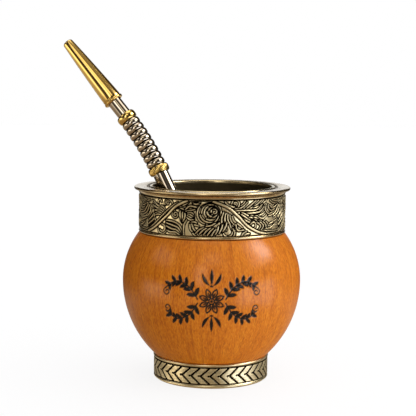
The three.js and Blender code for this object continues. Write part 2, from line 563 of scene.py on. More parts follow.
def connect(tree: NodeTree, node: Node, links: dict[int | str, object]) -> None:
    """Link a node's inputs, or set them where a value is given.

    Args:
        tree: The node tree.
        node: The node.
        links: Inputs by name or number. An output socket is linked and anything else is a value.
    """
    for name, value in links.items():
        socket = node.inputs[name]
        if isinstance(value, NodeSocket):
            tree.links.new(value, socket)
        else:
            socket.default_value = value


def add(
    tree: NodeTree,
    kind: str,
    settings: dict[str, object] | None = None,
    links: dict[int | str, object] | None = None,
) -> Node:
    """Add a node with its settings and links.

    Args:
        tree: The node tree.
        kind: The node's type.
        settings: Properties by name, with "ramp" for a colour ramp's stops.
        links: Inputs as connect takes them.

    Returns:
        The node.
    """
    node = tree.nodes.new(kind)
    for name, value in (settings or {}).items():
        if name == "ramp":
            stops = node.color_ramp.elements
            while len(stops) < len(value):
                stops.new(0.5)
            for stop, (place, colour) in zip(stops, value):
                stop.position = place
                stop.color = linear(colour)
        else:
            setattr(node, name, value)
    connect(tree, node, links or {})
    return node


def new_material(name: str) -> tuple[Material, NodeTree, Node]:
    """A new material with its node tree and its shader.

    Args:
        name: The material's name.

    Returns:
        The material, its node tree and its shader.
    """
    material = bpy.data.materials.new(name)
    material.use_nodes = True
    tree = material.node_tree
    return material, tree, tree.nodes["Principled BSDF"]


class Grain(Enum):
    """How a metal's surface was worked, as the size in millimetres across and along its marks.

    The real marks are finer than the render can show, so these are drawn coarser.
    """

    SPUN = (2.2, 0.12)
    POLISHED = (0.5, 0.5)
    CAST = (0.35, 0.35)


@dataclass(frozen=True)
class VarnishedWood:
    """Turned hardwood with upright grain under a satin varnish.

    To the eye: honey orange with darker upright streaks and short pores, a soft window highlight
    in the clear coat, and engraved lines burnt nearly black.

    Attributes:
        name: The material's name.
        light: The colour of the palest wood.
        middle: The usual colour.
        deep: The colour of the darkest wood.
        vein: The colour of the thin dark veins.
        pore: The colour of the pores.
        burnt: The colour of the engraved lines.
        wrap_mm: The radius at which the patterns are wrapped round the cup.
        figure_mm: The width of the broad bands.
        streak_mm: The width of the streaks.
        mottle_mm: The width of the soft blotches.
        grit_mm: The width of the fine fibres.
        vein_mm: The width of the veins.
        pore_mm: The width of the pores. The real ones are about 0.1 mm, too fine to show.
    """

    name: str = "varnished_hardwood"
    light: str = "#dc8418"
    middle: str = "#cb6f0c"
    deep: str = "#ad5605"
    vein: str = "#96470a"
    pore: str = "#8a4206"
    burnt: str = "#17110d"
    wrap_mm: float = 45.0
    figure_mm: float = 8.0
    streak_mm: float = 1.2
    mottle_mm: float = 3.6
    grit_mm: float = 0.55
    vein_mm: float = 1.9
    pore_mm: float = 0.34

    def wrapped(self, tree: NodeTree) -> NodeSocket:
        """Places on the wood as if it were a straight cylinder, so that the grain runs upright.

        Args:
            tree: The material's node tree.

        Returns:
            The socket of the places.
        """
        place = add(tree, "ShaderNodeTexCoord").outputs["Object"]
        across, upward = [
            add(tree, "ShaderNodeVectorMath", {"operation": "MULTIPLY"}, {0: place, 1: kept}).outputs[0]
            for kept in [(1.0, 1.0, 0.0), (0.0, 0.0, 1.0)]
        ]
        outward = add(tree, "ShaderNodeVectorMath", {"operation": "NORMALIZE"}, {0: across}).outputs[0]
        return add(tree, "ShaderNodeVectorMath", {"operation": "MULTIPLY_ADD"}, {
            0: outward, 1: (self.wrap_mm * MM,) * 3, 2: upward,
        }).outputs[0]

    def patterns(self, tree: NodeTree) -> dict[str, NodeSocket]:
        """The wood's noise patterns by name, each scaled from the size of its marks.

        Args:
            tree: The material's node tree.

        Returns:
            The socket of each pattern's value.
        """
        place = self.wrapped(tree)
        made = {}
        # The marks' width and length in millimetres, then the noise's detail and distortion.
        for name, width, length, detail, kink in [
            ("figure", self.figure_mm, 150.0, 2.0, 0.2), ("streak", self.streak_mm, 30.0, 3.0, 0.1),
            ("mottle", self.mottle_mm, 7.0, 3.0, 0.3), ("grit", self.grit_mm, 1.5, 2.0, 0.0),
            ("vein", self.vein_mm, 45.0, 2.0, 0.1), ("pore", self.pore_mm, 2.6, 1.0, 0.0),
        ]:
            mapping = add(tree, "ShaderNodeMapping", None, {
                "Vector": place, "Scale": (1 / (width * MM), 1 / (width * MM), 1 / (length * MM)),
            })
            made[name] = add(tree, "ShaderNodeTexNoise", None, {
                "Vector": mapping.outputs[0], "Scale": 1.0, "Detail": detail, "Distortion": kink,
            }).outputs["Fac"]
        return made

    def build(self) -> Material:
        """Make the material.

        Returns:
            The material.
        """
        material, tree, shader = new_material(self.name)
        pattern = self.patterns(tree)
        shade = 0.0
        # The four patterns are added up, each with the share that it has in the colour.
        for name, weight in [("figure", 0.24), ("streak", 0.5), ("mottle", 0.4), ("grit", 1.0)]:
            shade = add(tree, "ShaderNodeMath", {"operation": "MULTIPLY_ADD"}, {
                0: pattern[name], 1: weight, 2: shade,
            }).outputs[0]
        # Nearly all of the sum lies between these two values.
        level = add(tree, "ShaderNodeMapRange", None, {
            "Value": shade, "From Min": 0.76, "From Max": 1.36,
        })
        colour = add(tree, "ShaderNodeValToRGB", {
            "ramp": [(0.0, self.deep), (0.5, self.middle), (1.0, self.light)],
        }, {"Fac": level.outputs[0]}).outputs[0]
        burn = add(tree, "ShaderNodeAttribute", {"attribute_name": "dark"}).outputs["Fac"]
        veined, pored = [
            add(tree, "ShaderNodeMapRange", None, {
                "Value": pattern[name], "From Min": low, "From Max": high, "To Max": most,
            }).outputs[0]
            for name, low, high, most in [("vein", 0.60, 0.74, 0.42), ("pore", 0.56, 0.72, 0.6)]
        ]
        for share, darker in [(veined, self.vein), (pored, self.pore), (burn, self.burnt)]:
            colour = add(tree, "ShaderNodeMix", {"data_type": "RGBA"}, {
                0: share, 6: colour, 7: linear(darker),
            }).outputs[2]
        gloss = add(tree, "ShaderNodeMapRange", None, {"Value": burn, "To Min": 0.42, "To Max": 0.75})
        raised = add(tree, "ShaderNodeMath", {"operation": "MULTIPLY_ADD"}, {
            0: pattern["pore"], 1: -0.5, 2: pattern["streak"],
        })
        bump = add(tree, "ShaderNodeBump", None, {
            "Height": raised.outputs[0], "Strength": 0.12, "Distance": 0.06 * MM,
        })
        connect(tree, shader, {
            "Base Color": colour, "Roughness": gloss.outputs[0], "Normal": bump.outputs[0], "IOR": 1.5,
            "Specular IOR Level": 0.08, "Coat Weight": 0.22, "Coat Roughness": 0.2, "Coat IOR": 2.0,
        })
        return material


@dataclass(frozen=True)
class WornMetal:
    """Metal with fine working marks, uneven gloss and tarnish in its hollows.

    To the eye: bright crests, blackened recesses where the dark attribute is high, and faint
    clouds where handling has dulled it. The black is patina in the chased hollows and the collar's
    seat, and painted shade in the grip's grooves, the gold ring's cuts, the liner's bowl, under the
    rim's edge and beside the liner's lip.

    Attributes:
        name: The material's name.
        bright: The colour of a clean crest.
        dull: The colour where it is lightly tarnished.
        black: The colour where the dark attribute is high: patina in recesses, and painted shade.
        grain: How the surface was worked.
        gloss: The roughness of a clean crest.
        spread: How much rougher the dull clouds are.
        marks: How strongly the working marks show.
    """

    name: str
    bright: str
    dull: str
    black: str
    grain: Grain
    gloss: float
    spread: float
    marks: float

    def build(self) -> Material:
        """Make the material.

        Returns:
            The material.
        """
        material, tree, shader = new_material(self.name)
        place = add(tree, "ShaderNodeTexCoord").outputs["Object"]
        across, along = self.grain.value
        mapping = add(tree, "ShaderNodeMapping", None, {
            "Vector": place, "Scale": (1 / (across * MM), 1 / (across * MM), 1 / (along * MM)),
        })
        marks = add(tree, "ShaderNodeTexNoise", None, {
            "Vector": mapping.outputs[0], "Scale": 1.0, "Detail": 3.0,
        }).outputs["Fac"]
        # Dull clouds some 6 mm wide, as handling leaves them.
        clouds = add(tree, "ShaderNodeTexNoise", None, {
            "Vector": place, "Scale": 1 / (6.0 * MM), "Detail": 4.0, "Roughness": 0.6,
        }).outputs["Fac"]
        dark = add(tree, "ShaderNodeAttribute", {"attribute_name": "dark"}).outputs["Fac"]
        dulled = add(tree, "ShaderNodeMapRange", None, {
            "Value": clouds, "From Min": 0.38, "From Max": 0.70,
        }).outputs[0]
        metal = add(tree, "ShaderNodeMix", {"data_type": "RGBA"}, {
            0: dulled, 6: linear(self.bright), 7: linear(self.dull),
        })
        colour = add(tree, "ShaderNodeMix", {"data_type": "RGBA"}, {
            0: dark, 6: metal.outputs[2], 7: linear(self.black),
        })
        worn = add(tree, "ShaderNodeMath", {"operation": "MULTIPLY_ADD"}, {
            0: dulled, 1: self.spread, 2: self.gloss,
        })
        rough = add(tree, "ShaderNodeMath", {"operation": "MULTIPLY_ADD", "use_clamp": True}, {
            0: dark, 1: 0.4, 2: worn.outputs[0],
        })
        bump = add(tree, "ShaderNodeBump", None, {
            "Height": marks, "Strength": self.marks, "Distance": 0.05 * MM,
        })
        connect(tree, shader, {
            "Base Color": colour.outputs[2], "Roughness": rough.outputs[0], "Normal": bump.outputs[0],
            "Metallic": 1.0,
        })
        return material


# Cast and chased brass, blackened by hand and wiped: satin crests on a black ground.
CHASED_BRASS = WornMetal(
    "chased_brass", "#f4e6bd", "#e2d2a8", "#040302", Grain.CAST, gloss=0.28, spread=0.06, marks=0.10
)
# Brass spun on a lathe and left to age: broad soft reflections, a little brown.
SPUN_BRASS = WornMetal(
    "spun_brass", "#d6c29a", "#c4ae84", "#0c0906", Grain.SPUN, gloss=0.17, spread=0.05, marks=0.01
)
# A pale spun alloy, bright at the lip, with painted shade darkening it brown inside the bowl.
SPUN_ALLOY = WornMetal(
    "spun_alloy", "#d8c8a0", "#c0b08a", "#332c1c", Grain.SPUN, gloss=0.20, spread=0.05, marks=0.01
)
# Stainless steel polished to a mirror: long sharp stripes of light and dark.
POLISHED_STAINLESS = WornMetal(
    "polished_stainless", "#c9bead", "#bdb1a0", "#060504", Grain.POLISHED, gloss=0.07, spread=0.0, marks=0.0
)
# Polished gold plate: deep yellow with soft-edged stripes.
POLISHED_GOLD = WornMetal(
    "polished_gold", "#eccb7c", "#e3bf6d", "#3a2508", Grain.POLISHED, gloss=0.12, spread=0.0, marks=0.0
)


def dress(piece: Object, finish: VarnishedWood | WornMetal, slot: str, *nodes: str) -> None:
    """Give a piece its finish and its place in the frame.

    Args:
        piece: The piece.
        finish: Its finish.
        slot: The record's material slot. It is not used.
        nodes: The CAD nodes that it stands for.
    """
    material = bpy.data.materials.get(finish.name) or finish.build()
    piece.data.materials.clear()
    piece.data.materials.append(material)
    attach(piece, "root")
    if nodes:
        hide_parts(*nodes)
    LOG.info("%s: %d points, %s", piece.name, len(piece.data.vertices), finish.name)


@dataclass
class FootRing:
    """The brass ring that the cup stands on: a chevron band between two beads.

    Attributes:
        bore: The inner radius.
        band: The band's radius.
        bead: The upper bead's radius.
        base: The radius at the floor.
        lower_bead: The lower bead's height.
        upper_bead: The upper bead's height.
        groove: The width of the grooves beside the band.
        groove_depth: How deep they are.
        edge: The radius of the round edge at the floor.
        chevrons: The number of chevrons.
        steps: The number of steps round the ring, 24 to a chevron.
        slope: How far round a chevron's arm runs for each millimetre up.
        stroke: The width of its groove.
        hatching: Where the fine lines beside each chevron's groove start.
    """

    bore: float = 27.9
    band: float = 29.3
    bead: float = 29.5
    base: float = 28.5
    lower_bead: float = 2.0
    upper_bead: float = 1.6
    groove: float = 0.5
    groove_depth: float = 0.35
    edge: float = 0.35
    chevrons: int = 38
    steps: int = 912
    slope: float = 1.12
    stroke: float = 0.74
    hatching: tuple[float, ...] = (0.75, 1.3, 1.9, 2.5, 3.1, 3.65)

    def band_heights(self, height: float) -> Point:
        """The heights between which the band lies."""
        return self.lower_bead + self.groove, height - self.upper_bead - self.groove

    def outline(self, height: float) -> Outline:
        """The ring's closed outline.

        Args:
            height: The ring's height.

        Returns:
            The outline's points, as radius and height.
        """
        low, high = self.band_heights(height)
        deep = self.band - self.groove_depth
        half = self.upper_bead / 2
        # Small steps ease the band's edges down into the grooves beside it.
        return [
            (self.bore, 0.0),
            (self.base - self.edge, 0.0),
            *arc(self.base - self.edge, self.edge, self.edge, -60, 0, 3),
            *arc(self.band - 1.0, self.lower_bead * 0.55, 1.0, -20, 62, 7, self.lower_bead * 0.52),
            (deep + 0.05, self.lower_bead + 0.08), (deep, low - 0.12), (self.band - 0.04, low),
            *[(self.band, z) for z in spaced(low + 0.1, high - 0.1, 40)],
            (self.band - 0.04, high), (deep, high + 0.12), (deep + 0.05, high + self.groove - 0.08),
            *arc(self.bead - half, height - half, half, -62, 90, 8),
            (self.bore, height),
            (self.bore, 0.0),
        ]

    def chasing(self, height: float) -> Relief:
        """One chevron of the band, as a strip that repeats round it.

        Args:
            height: The ring's height.

        Returns:
            The strip.
        """
        low, high = self.band_heights(height)
        step = math.tau * self.band / self.chevrons
        relief = Relief(-step / 2, low, step, high - low, pitch=step / 40, depth=0.3)
        middle, reach = (low + high) / 2, (high - low) / 2
        hatches = [(away, HAIR, 0.45) for away in self.hatching]
        for away, width, shade in [(-0.2, self.stroke, 1.0), *hatches]:
            for hand in (1.0, -1.0):
                ends = (away, middle), (away + reach * self.slope, middle + hand * reach)
                relief.cut_line(bowed(*ends, 0.0), width, shade=shade)
        # A short notch with a dot at its end runs on from the chevron's point.
        relief.cut_line(bowed((-1.1, middle), (-0.1, middle), 0.0), 0.45)
        relief.cut_line(bowed((-1.15, middle), (-1.05, middle), 0.0), 0.72)
        return relief

    def build(self) -> None:
        """Model and dress the ring."""
        _, _, _, height = cad_size("foot_ring")
        piece = Bench.turned("foot_ring_chased", self.outline(height), self.steps, crease=50.0)
        Bench.emboss(piece, self.chasing(height), self.band, self.band - 0.2)
        self._blacken(piece, height)
        dress(piece, CHASED_BRASS, "antique_brass", "foot_ring")

    def _blacken(self, piece: Object, height: float) -> None:
        """Darken the two grooves beside the band.

        Args:
            piece: The piece.
            height: The ring's height.
        """
        points = Bench.points(piece)
        reach = Bench.reach(points)
        in_groove = (reach < self.band - 0.03) & (reach > self.bore + 0.2)
        in_groove &= (points[:, 2] > self.lower_bead) & (points[:, 2] < height - 0.96 * self.upper_bead)
        layer = piece.data.attributes["dark"].data
        dark = np.zeros(len(points), np.float32)
        layer.foreach_get("value", dark)
        layer.foreach_set("value", np.where(in_groove, 1.0, dark).astype(np.float32))


@dataclass
class WoodCup:
    """The turned wooden ball with its engraved garland.

    Attributes:
        height: The height at which the ball is widest.
        widest: Its radius there.
        upper_arc: The radius of the side's arc above that.
        lower_arc: The radius of the side's arc below it.
        core: The radius of the foot inside the metal ring.
        shoulder: The height at which the wood meets the foot ring.
        neck: The radius inside the collar.
        collar_at: The height at which the wood meets the collar.
        bore: The radius of the hollow at its top.
        front: The angle each side of the front that is modelled finely.
        rings: The number of rows between the foot ring and the collar.
        steps: The number of steps round the cup.
        front_steps: The number of those in the finely modelled front.
    """

    height: float = 50.3
    widest: float = 45.34
    upper_arc: float = 40.3
    lower_arc: float = 52.0
    core: float = 27.6
    shoulder: float = 12.65
    neck: float = 35.1
    collar_at: float = 74.85
    bore: float = 31.6
    front: float = 36.0
    rings: int = 165
    steps: int = 290
    front_steps: int = 160

    def radius_at(self, z: float) -> float:
        """The ball's radius at a height."""
        size = self.upper_arc if z > self.height else self.lower_arc
        return self.widest - size + math.sqrt(size**2 - (z - self.height) ** 2)

    def outline(self, top: float) -> Outline:
        """The wood's outline from the underside's middle to the hollow's floor.

        Args:
            top: The height of the wood's top.

        Returns:
            The outline's points, as radius and height.
        """
        heights = spaced(self.shoulder, self.collar_at, self.rings)
        # Outside the liner the hollow runs straight down to a round floor.
        return [
            (0.0, 0.0), (self.core - 0.4, 0.0), (self.core, 0.4), (self.core, self.shoulder - 0.05),
            *[(self.radius_at(z), z) for z in heights],
            (self.neck, self.collar_at + 0.05), (self.neck, top), (self.bore, top),
            *arc(15.0, 27.0, 14.2, 0, -90, 8),
            (0.0, 12.8),
        ]

    def garland(self) -> Relief:
        """The engraved ornament: a small flower with leafy twigs that arch to both sides.

        Returns:
            The strip round the front.
        """
        relief = Relief(
            left=-29.0, bottom=24.0, length=58.0, height=44.0, wraps=False, pitch=0.16, depth=0.16
        )
        middle = 47.0
        for hand in (1.0, -1.0):
            self._twig(relief, hand, middle + 1.0, 1.0)
            self._twig(relief, hand, middle - 1.0, -1.0)
        self._flower(relief, (0.0, middle), 6.2)
        for tip in (1.0, -1.0):
            foot, end = middle + 7.6 * tip, middle + 15.5 * tip
            for lean in (-1.0, 0.0, 1.0):
                base = (lean * 0.9, foot)
                point = (lean * 4.6, end - 2.2 * abs(lean) * tip)
                relief.cut_line(bowed(base, point, -0.7 * lean * tip), 1.7, 0.9)
            relief.cut_line(bowed((-0.4, foot - 0.4 * tip), (0.4, foot - 0.4 * tip), 0.0), 0.9)
        return relief

    @staticmethod
    def _twig(relief: Relief, hand: float, base: float, up: float) -> None:
        """One arching twig with paired leaves and a curl at its end.

        Args:
            relief: The strip.
            hand: 1 for the twig at the right, -1 for the one at the left.
            base: The height at which it starts.
            up: 1 where it arches up, -1 where it arches down.
        """
        stalk = smooth_line([
            (hand * 6.8, base), (hand * 11.0, base + up * 5.8),
            (hand * 17.5, base + up * 8.2), (hand * 23.2, base + up * 4.6),
        ], 0.2)
        relief.cut_line(stalk, 0.75)
        curl = turns((hand * 22.4, base + up * 2.9), 1.9, 0.5, 60 if hand > 0 else 120, -hand * up * 420.0)
        if up < 0:
            curl = curl * (1, -1) + (0, 2 * (base + up * 2.9))  # A lower twig's curl is mirrored.
        relief.cut_line(curl, 0.7, 0.3)
        heading = np.gradient(stalk, axis=0)
        heading = heading / np.hypot(*heading.T)[:, None]
        leaves = 6
        for k in range(leaves):
            place = round((len(stalk) - 1) * (0.10 + 0.72 * k / (leaves - 1)))
            root, ahead = stalk[place], heading[place]
            for side in (1.0, -1.0):
                across = np.array([-ahead[1], ahead[0]]) * side
                length = 4.6 - 0.25 * k
                start = root + 0.35 * across
                end = root + length * (0.62 * ahead + 0.78 * across)
                relief.cut_line(bowed(start, end, -0.5 * side), 2.15 - 0.08 * k, 0.9)

    @staticmethod
    def _flower(relief: Relief, centre: Point, size: float) -> None:
        """Eight outlined petals round a ring and a dot.

        Args:
            relief: The strip.
            centre: The flower's middle.
            size: The length of its petals from there.
        """
        petals = 8
        for k in range(petals):
            angle = math.radians(360.0 * (k + 0.5) / petals)
            out = np.array([math.cos(angle), math.sin(angle)])
            base, tip = np.array(centre) + 0.30 * size * out, np.array(centre) + size * out
            for bow in (0.17 * size, -0.17 * size):
                relief.cut_line(bowed(base, tip, bow), 0.8)
            vein = base + 0.12 * size * out, base + 0.42 * size * out
            relief.cut_line(bowed(*vein, 0.0), 0.8, 0.6)
        relief.cut_line(turns(centre, 0.22 * size, 0.22 * size, 0.0, 362.0), 0.75)
        relief.cut_line(turns(centre, 0.05 * size, 0.05 * size, 0.0, 362.0), 0.9)

    def build(self) -> None:
        """Model and dress the wood."""
        _, _, top, _ = cad_size("wood_cup")
        piece = Bench.turned("wood_ball", self.outline(top), self.steps, crease=50.0)
        Bench.crowd(piece, self.front, self.front_steps / self.steps)
        Bench.emboss(piece, self.garland(), self.widest, self.core + 1.2)
        dress(piece, VarnishedWood(), "varnished_wood", "wood_cup")


@dataclass
class Liner:
    """The spun metal bowl with its rolled lip.

    Attributes:
        mouth: The inner radius at the mouth.
        bowl: The inner radius above the floor's bend.
        floor: The height of the floor.
        fillet: The radius of the bend.
        wall: The thickness.
        lip: The radius of the rolled lip.
        steps: The number of steps round it.
    """

    mouth: float = 30.4
    bowl: float = 27.6
    floor: float = 14.0
    fillet: float = 13.0
    wall: float = 0.8
    lip: float = 0.75
    steps: int = 160

    def side(self, offset: float, top: float) -> Outline:
        """The bowl's side from the middle of its floor up, moved out by an offset.

        Args:
            offset: How far outside the bowl's inner face the side lies.
            top: The height at which it ends.

        Returns:
            The side's points, as radius and height.
        """
        bend = arc(self.bowl - self.fillet, self.floor + self.fillet, self.fillet + offset, -90, 0, 16)
        low = bend[-1][1]
        wall = [
            (self.bowl + offset + (self.mouth - self.bowl) * (z - low) / (top - low), z)
            for z in [*spaced(low, top - 1.2, 14)[1:], top - 0.8, top - 0.4, top]
        ]
        return [(0.0, self.floor - offset), *bend, *wall]

    def build(self) -> None:
        """Model and dress the liner."""
        _, _, top, _ = cad_size("liner")
        middle = top - self.lip
        lip = arc(self.mouth + self.lip, middle, self.lip, -80, 180, 14)
        outside, inside = self.side(self.wall, middle - self.lip)[:-1], self.side(0.0, middle)[:-1]
        outline = [*outside, *lip, *inside[::-1]]
        piece = Bench.turned("liner_bowl", outline, self.steps, crease=45.0)
        height = Bench.points(piece)[:, 2]
        # Painted shade darkens the bowl all over, most towards the mouth, and the lip is left bright.
        painted_bowl_shade = 0.72 + 0.2 * smoothstep(70.0, 88.0, height)
        Bench.store(piece, "dark", painted_bowl_shade * (1.0 - smoothstep(middle - 0.9, middle - 0.1, height)))
        dress(piece, SPUN_ALLOY, "liner_metal", "liner")


@dataclass
class FloralRepeat:
    """One repeat of the collar's ornament: a vine over a flower, with curled leaves on both sides.

    Places are in millimetres from the cup's front and from the band's foot. A leaf is given by its
    first and its last rib, and the ribs between them follow by rule.

    Attributes:
        hand: The chaser that draws it.
    """

    hand: Chaser

    def draw(self) -> None:
        """Draw the motifs, the lowest first."""
        self.left_flames()
        self.curled_leaf()
        self.star_leaf()
        self.fan()
        self.right_flames()
        self.bud()
        self.flower()
        self.scrolls()
        self.vine()

    def left_flames(self) -> None:
        """Two flame-shaped leaves left of the vine."""
        self.hand.leaf([(-33, 16), (-29, 13.5), (-26, 13.5), (-24, 11)],
                       [(-33.5, 7), (-31, 9), (-28.5, 9.5), (-26, 8.5)], 5)
        self.hand.leaf([(-34, 16), (-34.5, 12.5), (-37.5, 9)], [(-31.5, 7.5), (-32, 5), (-38, 2)], 5)
        self.hand.curl((-28, 15.7), 1.1, 210.0, -200.0)

    def curled_leaf(self) -> None:
        """The leaf that curls round the left spiral, and the waves that run down from it."""
        self.hand.leaf([(-20, 13), (-16.5, 13.5), (-14, 12.5), (-13, 10)],
                       [(-16, 15), (-14, 15), (-13, 15.5), (-11.5, 16.5)], 3)
        self.hand.leaf([(-16, 12), (-16, 9.5), (-15, 6.5)], [(-13.5, 11), (-13.5, 9), (-14.5, 7)], 3)
        self.hand.leaf([(-24, 7), (-19.5, 6.5), (-16, 4.5), (-14.5, 0)],
                       [(-24.5, 3), (-22, 1.5), (-18.5, 1.5), (-16, 0)], 4)
        self.hand.leaf([(-12.5, 8), (-14, 5), (-14, 0)], [(-11, 6), (-10.5, 3), (-8.5, 1.5)], 2)

    def star_leaf(self) -> None:
        """The star-shaped leaf between the spiral and the flower."""
        self.hand.leaf([(-13.5, 12.5), (-11, 14.5), (-7.5, 14)], [(-13, 12), (-10.5, 12.5), (-8.5, 13)], 2)
        self.hand.leaf([(-12, 11.5), (-9.5, 11), (-9, 8.5)], [(-12.5, 9), (-11, 8), (-9, 8)], 4)
        self.hand.leaf([(-10.5, 6.5), (-9, 7), (-7.5, 6.5)], [(-10, 5.5), (-8.5, 5.5), (-6.5, 5)], 2)
        self.hand.leaf([(-10, 6), (-9, 3.5), (-7.5, 2)], [(-9.5, 1.5), (-8.5, 0.5), (-7.5, 0)], 2)
        self.hand.leaf([(-9.5, 16), (-8, 15.5), (-6, 16)], [(-9.5, 16.5), (-8, 17), (-6, 16.5)], 2)

    def fan(self) -> None:
        """The leaves under the flower and the fan that falls from the vine beside it."""
        self.hand.leaf([(-8, 1.5), (-6, 3.5), (-3.5, 4.5)], [(-0.5, 0), (0.5, 2), (2, 4)], 5)
        self.hand.curl((-1.3, 11.3), 5.5, 60.0, -150.0)
        self.hand.leaf([(5.5, 12), (4.5, 9), (4.5, 6), (4, 2.5)],
                       [(9.5, 10), (10.5, 7.5), (12.5, 6), (15, 4)], 5)
        self.hand.leaf([(7, 7), (6.5, 5), (5, 2)], [(3, 5), (2.5, 3), (1.5, 1)], 3)
        self.hand.curl((7.5, 2.3), 2.3, 200.0, 160.0)
        self.hand.leaf([(10, 4), (11, 2), (10.5, 0)], [(11.5, 6), (12.5, 3), (16, 3)], 2)
        self.hand.leaf([(14.5, 0), (15.5, 1.5), (17.5, 2)], [(16, 0), (17, 1), (19, 1)], 2)

    def right_flames(self) -> None:
        """The flame-shaped leaves right of the vine."""
        self.hand.leaf([(6, 17), (8, 15), (12, 14), (15, 15.5), (17, 18)],
                       [(11, 13.5), (13, 13.5), (14.5, 14), (16, 15), (17.5, 16.5)], 2)
        self.hand.leaf([(16.5, 13), (19.5, 15), (23, 17.5)], [(21, 13.5), (25.5, 14.5), (30, 17.5)], 3)
        self.hand.leaf([(10.5, 12.5), (16, 12.5), (22.5, 12.5), (26.5, 15)],
                       [(18, 10), (23, 9.5), (27, 10.5), (29, 13)], 3)
        self.hand.leaf([(14.5, 11.5), (18.5, 9.5), (20, 7.5)], [(13.5, 10), (16, 8), (20, 6)], 3)
        self.hand.leaf([(18.5, 9), (21, 8.5), (24, 6.5)], [(24, 9), (27, 8), (30, 10)], 3)
        self.hand.curl((21, 5), 1.5, 160.0, -300.0)
        self.hand.leaf([(23, 6.5), (25.5, 4.5), (24, 2.5)], [(29, 6.5), (31, 4.5), (29.5, 2)], 4)

    def bud(self) -> None:
        """The half-opened flower where two repeats meet."""
        self.hand.leaf([(32, 16.5), (36, 15), (42, 16)], [(33.5, 17), (36.5, 16), (39, 16)], 2)
        self.hand.leaf([(29.5, 15), (28.5, 12.5), (31.5, 10), (37.5, 12)],
                       [(32, 14), (33.5, 13), (35.5, 13), (38, 14)], 3)
        self.hand.leaf([(31, 9), (36, 10), (40.5, 14)], [(39, 7.5), (42, 10), (43, 13.5)], 3)
        self.hand.leaf([(31.5, 5), (35.5, 6), (39, 7)], [(29, 3), (32.5, 3), (37, 5)], 2)

    def flower(self) -> None:
        """The round flower: whorls of three petals that shrink towards its heart."""
        whorls = 5
        for k in range(whorls):
            share = k / (whorls - 1)
            centre = (-2.0 + 2.6 * share, 10.6 + 1.5 * share)
            radius = 5.6 - 4.2 * share
            for petal in range(3):
                self.hand.curl(centre, radius, 20.0 + 47.0 * k + 120.0 * petal, 108.0, 0.84 * radius)

    def scrolls(self) -> None:
        """The scrolls' outer turns and the spirals in them."""
        self.hand.curl((-22.5, 14.8), 2.35, 190.0, -240.0)
        self.hand.curl((11.2, 15.6), 1.95, 175.0, -215.0)
        self.hand.curl((-26.7, 3.0), 2.8, 190.0, 155.0)
        self.hand.curl((-26.5, 3.1), 1.75, 100.0, -245.0)
        self.hand.spiral((-23, 15.4), 1.15, 40.0, 400.0)
        self.hand.spiral((-18.6, 10.1), 2.0, 100.0, 620.0)
        self.hand.spiral((11.1, 15.9), 1.15, -60.0, 400.0)
        self.hand.spiral((1, 12), 1.4, 120.0, -430.0)

    def vine(self) -> None:
        """The thick vine that arches over the flower, and the thin stem along its left side."""
        self.hand.line([(-13, 17.2), (-6, 17.5), (0.5, 17.3)], 0.62)
        self.hand.line([(-50, 2), (-39, 1.5), (-33, 4), (-26, 9.5), (-20, 14.5), (-17, 16)], 0.5)
        self.hand.stem([(-39, 0), (-32, 3), (-24, 9), (-18.5, 14), (-12.5, 17)], 1.05, 0.56)
        self.hand.stem([(0.5, 17), (7.5, 14), (13, 9.5), (19, 4), (28, 0.5), (39, 0)], 1.05, 0.56)


